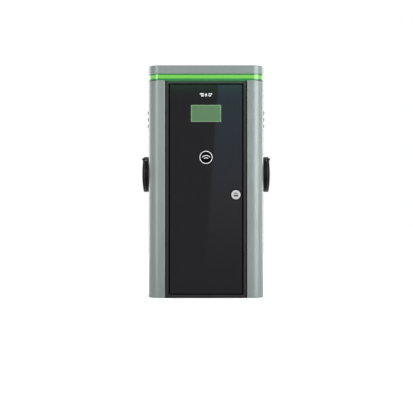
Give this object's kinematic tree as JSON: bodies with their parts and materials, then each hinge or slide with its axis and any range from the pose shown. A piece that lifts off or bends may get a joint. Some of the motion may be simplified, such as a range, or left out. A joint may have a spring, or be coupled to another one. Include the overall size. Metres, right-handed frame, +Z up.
{
  "type": "ev charging post",
  "caption": "Free-standing rectangular charging post with bowed sides, a lockable front door, a light band under its cap and a lidded socket on each side.",
  "frame": {"origin": "middle of the foot, on the floor and in the middle of the four anchor holes", "axes": "+Z up, the door faces -Y, +X to the right of someone facing the door"},
  "size_m": [0.68, 0.3, 1.2],
  "materials": {
    "casing_paint": "satin grey paint",
    "side_paint": "satin light grey paint",
    "frame_paint": "fine-texture black paint",
    "black_gloss": "glossy black front sheet",
    "galvanised": "zinc-coated sheet",
    "steel": "machined steel",
    "dark_steel": "blackened steel",
    "light": "translucent green light band",
    "led": "glowing strip",
    "seal_rubber": "matt",
    "cover_black": "fine-grained black",
    "insert_black": "moulded black",
    "silver": "silver-plated",
    "device_grey": "moulded light grey",
    "toggle_blue": "moulded blue",
    "brass": "machined",
    "lead_black": "cable sheath",
    "lcd": "green liquid-crystal window",
    "lock_chrome": "satin chrome"
  },
  "bodies": {
    "cabinet": {"base_plate": "casing_paint", "gland_plate": "galvanised", "supply_glands": "insert_black", "left_front_column": "casing_paint", "right_front_column": "casing_paint", "left_rear_column": "casing_paint", "right_rear_column": "casing_paint", "left_side_panel": "side_paint", "right_side_panel": "side_paint", "rear_panel": "casing_paint", "rear_panel_screws": "steel", "top_plate": "galvanised", "led_strip": "led", "light_ring": "light", "top_cap": "casing_paint", "cap_pillars": "galvanised", "door_frame": "frame_paint", "door_gasket": "seal_rubber", "hinge_blocks": "dark_steel", "hinge_pins": "dark_steel", "striker_plate": "steel", "left_socket_flange": "cover_black", "right_socket_flange": "cover_black", "lid_pins": "steel", "socket_seals": "seal_rubber", "socket_nuts": "insert_black", "left_socket_insert": "insert_black", "right_socket_insert": "insert_black", "contact_blocks": "insert_black", "socket_contacts": "silver", "bolt_actuators": "insert_black", "mounting_plate": "galvanised", "plate_brackets": "galvanised", "din_rails": "steel", "left_breaker": "device_grey", "right_breaker": "device_grey", "charge_controllers": "device_grey", "contactors": "device_grey", "energy_meters": "device_grey", "power_supply": "device_grey", "terminal_blocks": "device_grey", "earth_bar": "brass", "left_socket_lead": "lead_black", "right_socket_lead": "lead_black"},
    "door": {"door_fascia": "black_gloss", "door_pan": "frame_paint", "door_bushes": "dark_steel", "display_window": "lcd", "display_module": "insert_black", "rfid_reader": "insert_black", "lock_rosette": "lock_chrome", "lock_housing": "lock_chrome"},
    "lock_core": {"lock_barrel": "lock_chrome", "lock_cam": "steel"},
    "left_lid": {"left_lid": "cover_black"},
    "right_lid": {"right_lid": "cover_black"},
    "left_toggle": {"left_breaker_toggle": "toggle_blue"},
    "right_toggle": {"right_breaker_toggle": "toggle_blue"},
    "left_bolt": {"left_plug_bolt": "steel"},
    "right_bolt": {"right_plug_bolt": "steel"}
  },
  "joints": [
    {"name": "door_hinge", "type": "hinge", "parent": "cabinet", "child": "door", "pos_m": [-0.1805, -0.1368, 0.56125], "axis": [0, 0, -1], "range_deg": [0, 105]},
    {"name": "lock_turn", "type": "hinge", "parent": "door", "child": "lock_core", "pos_m": [0.154, -0.13, 0.5327], "axis": [0, -1, 0], "range_deg": [0, 90]},
    {"name": "left_lid_hinge", "type": "hinge", "parent": "cabinet", "child": "left_lid", "pos_m": [-0.332, 0, 0.722], "axis": [0, 1, 0], "range_deg": [0, 100], "stiffness_Nm_per_rad": 0.05, "springref_deg": -34.38},
    {"name": "right_lid_hinge", "type": "hinge", "parent": "cabinet", "child": "right_lid", "pos_m": [0.332, 0, 0.722], "axis": [0, -1, 0], "range_deg": [0, 100], "stiffness_Nm_per_rad": 0.05, "springref_deg": -34.38},
    {"name": "left_breaker_toggle", "type": "hinge", "parent": "cabinet", "child": "left_toggle", "pos_m": [-0.095, 0.0125, 0.8], "axis": [1, 0, 0], "range_deg": [0, 80]},
    {"name": "right_breaker_toggle", "type": "hinge", "parent": "cabinet", "child": "right_toggle", "pos_m": [0.095, 0.0125, 0.8], "axis": [1, 0, 0], "range_deg": [0, 80]},
    {"name": "left_bolt_slide", "type": "slide", "parent": "cabinet", "child": "left_bolt", "axis": [0, 0, -1], "range_m": [0, 0.005]},
    {"name": "right_bolt_slide", "type": "slide", "parent": "cabinet", "child": "right_bolt", "axis": [0, 0, -1], "range_m": [0, 0.005]}
  ]
}
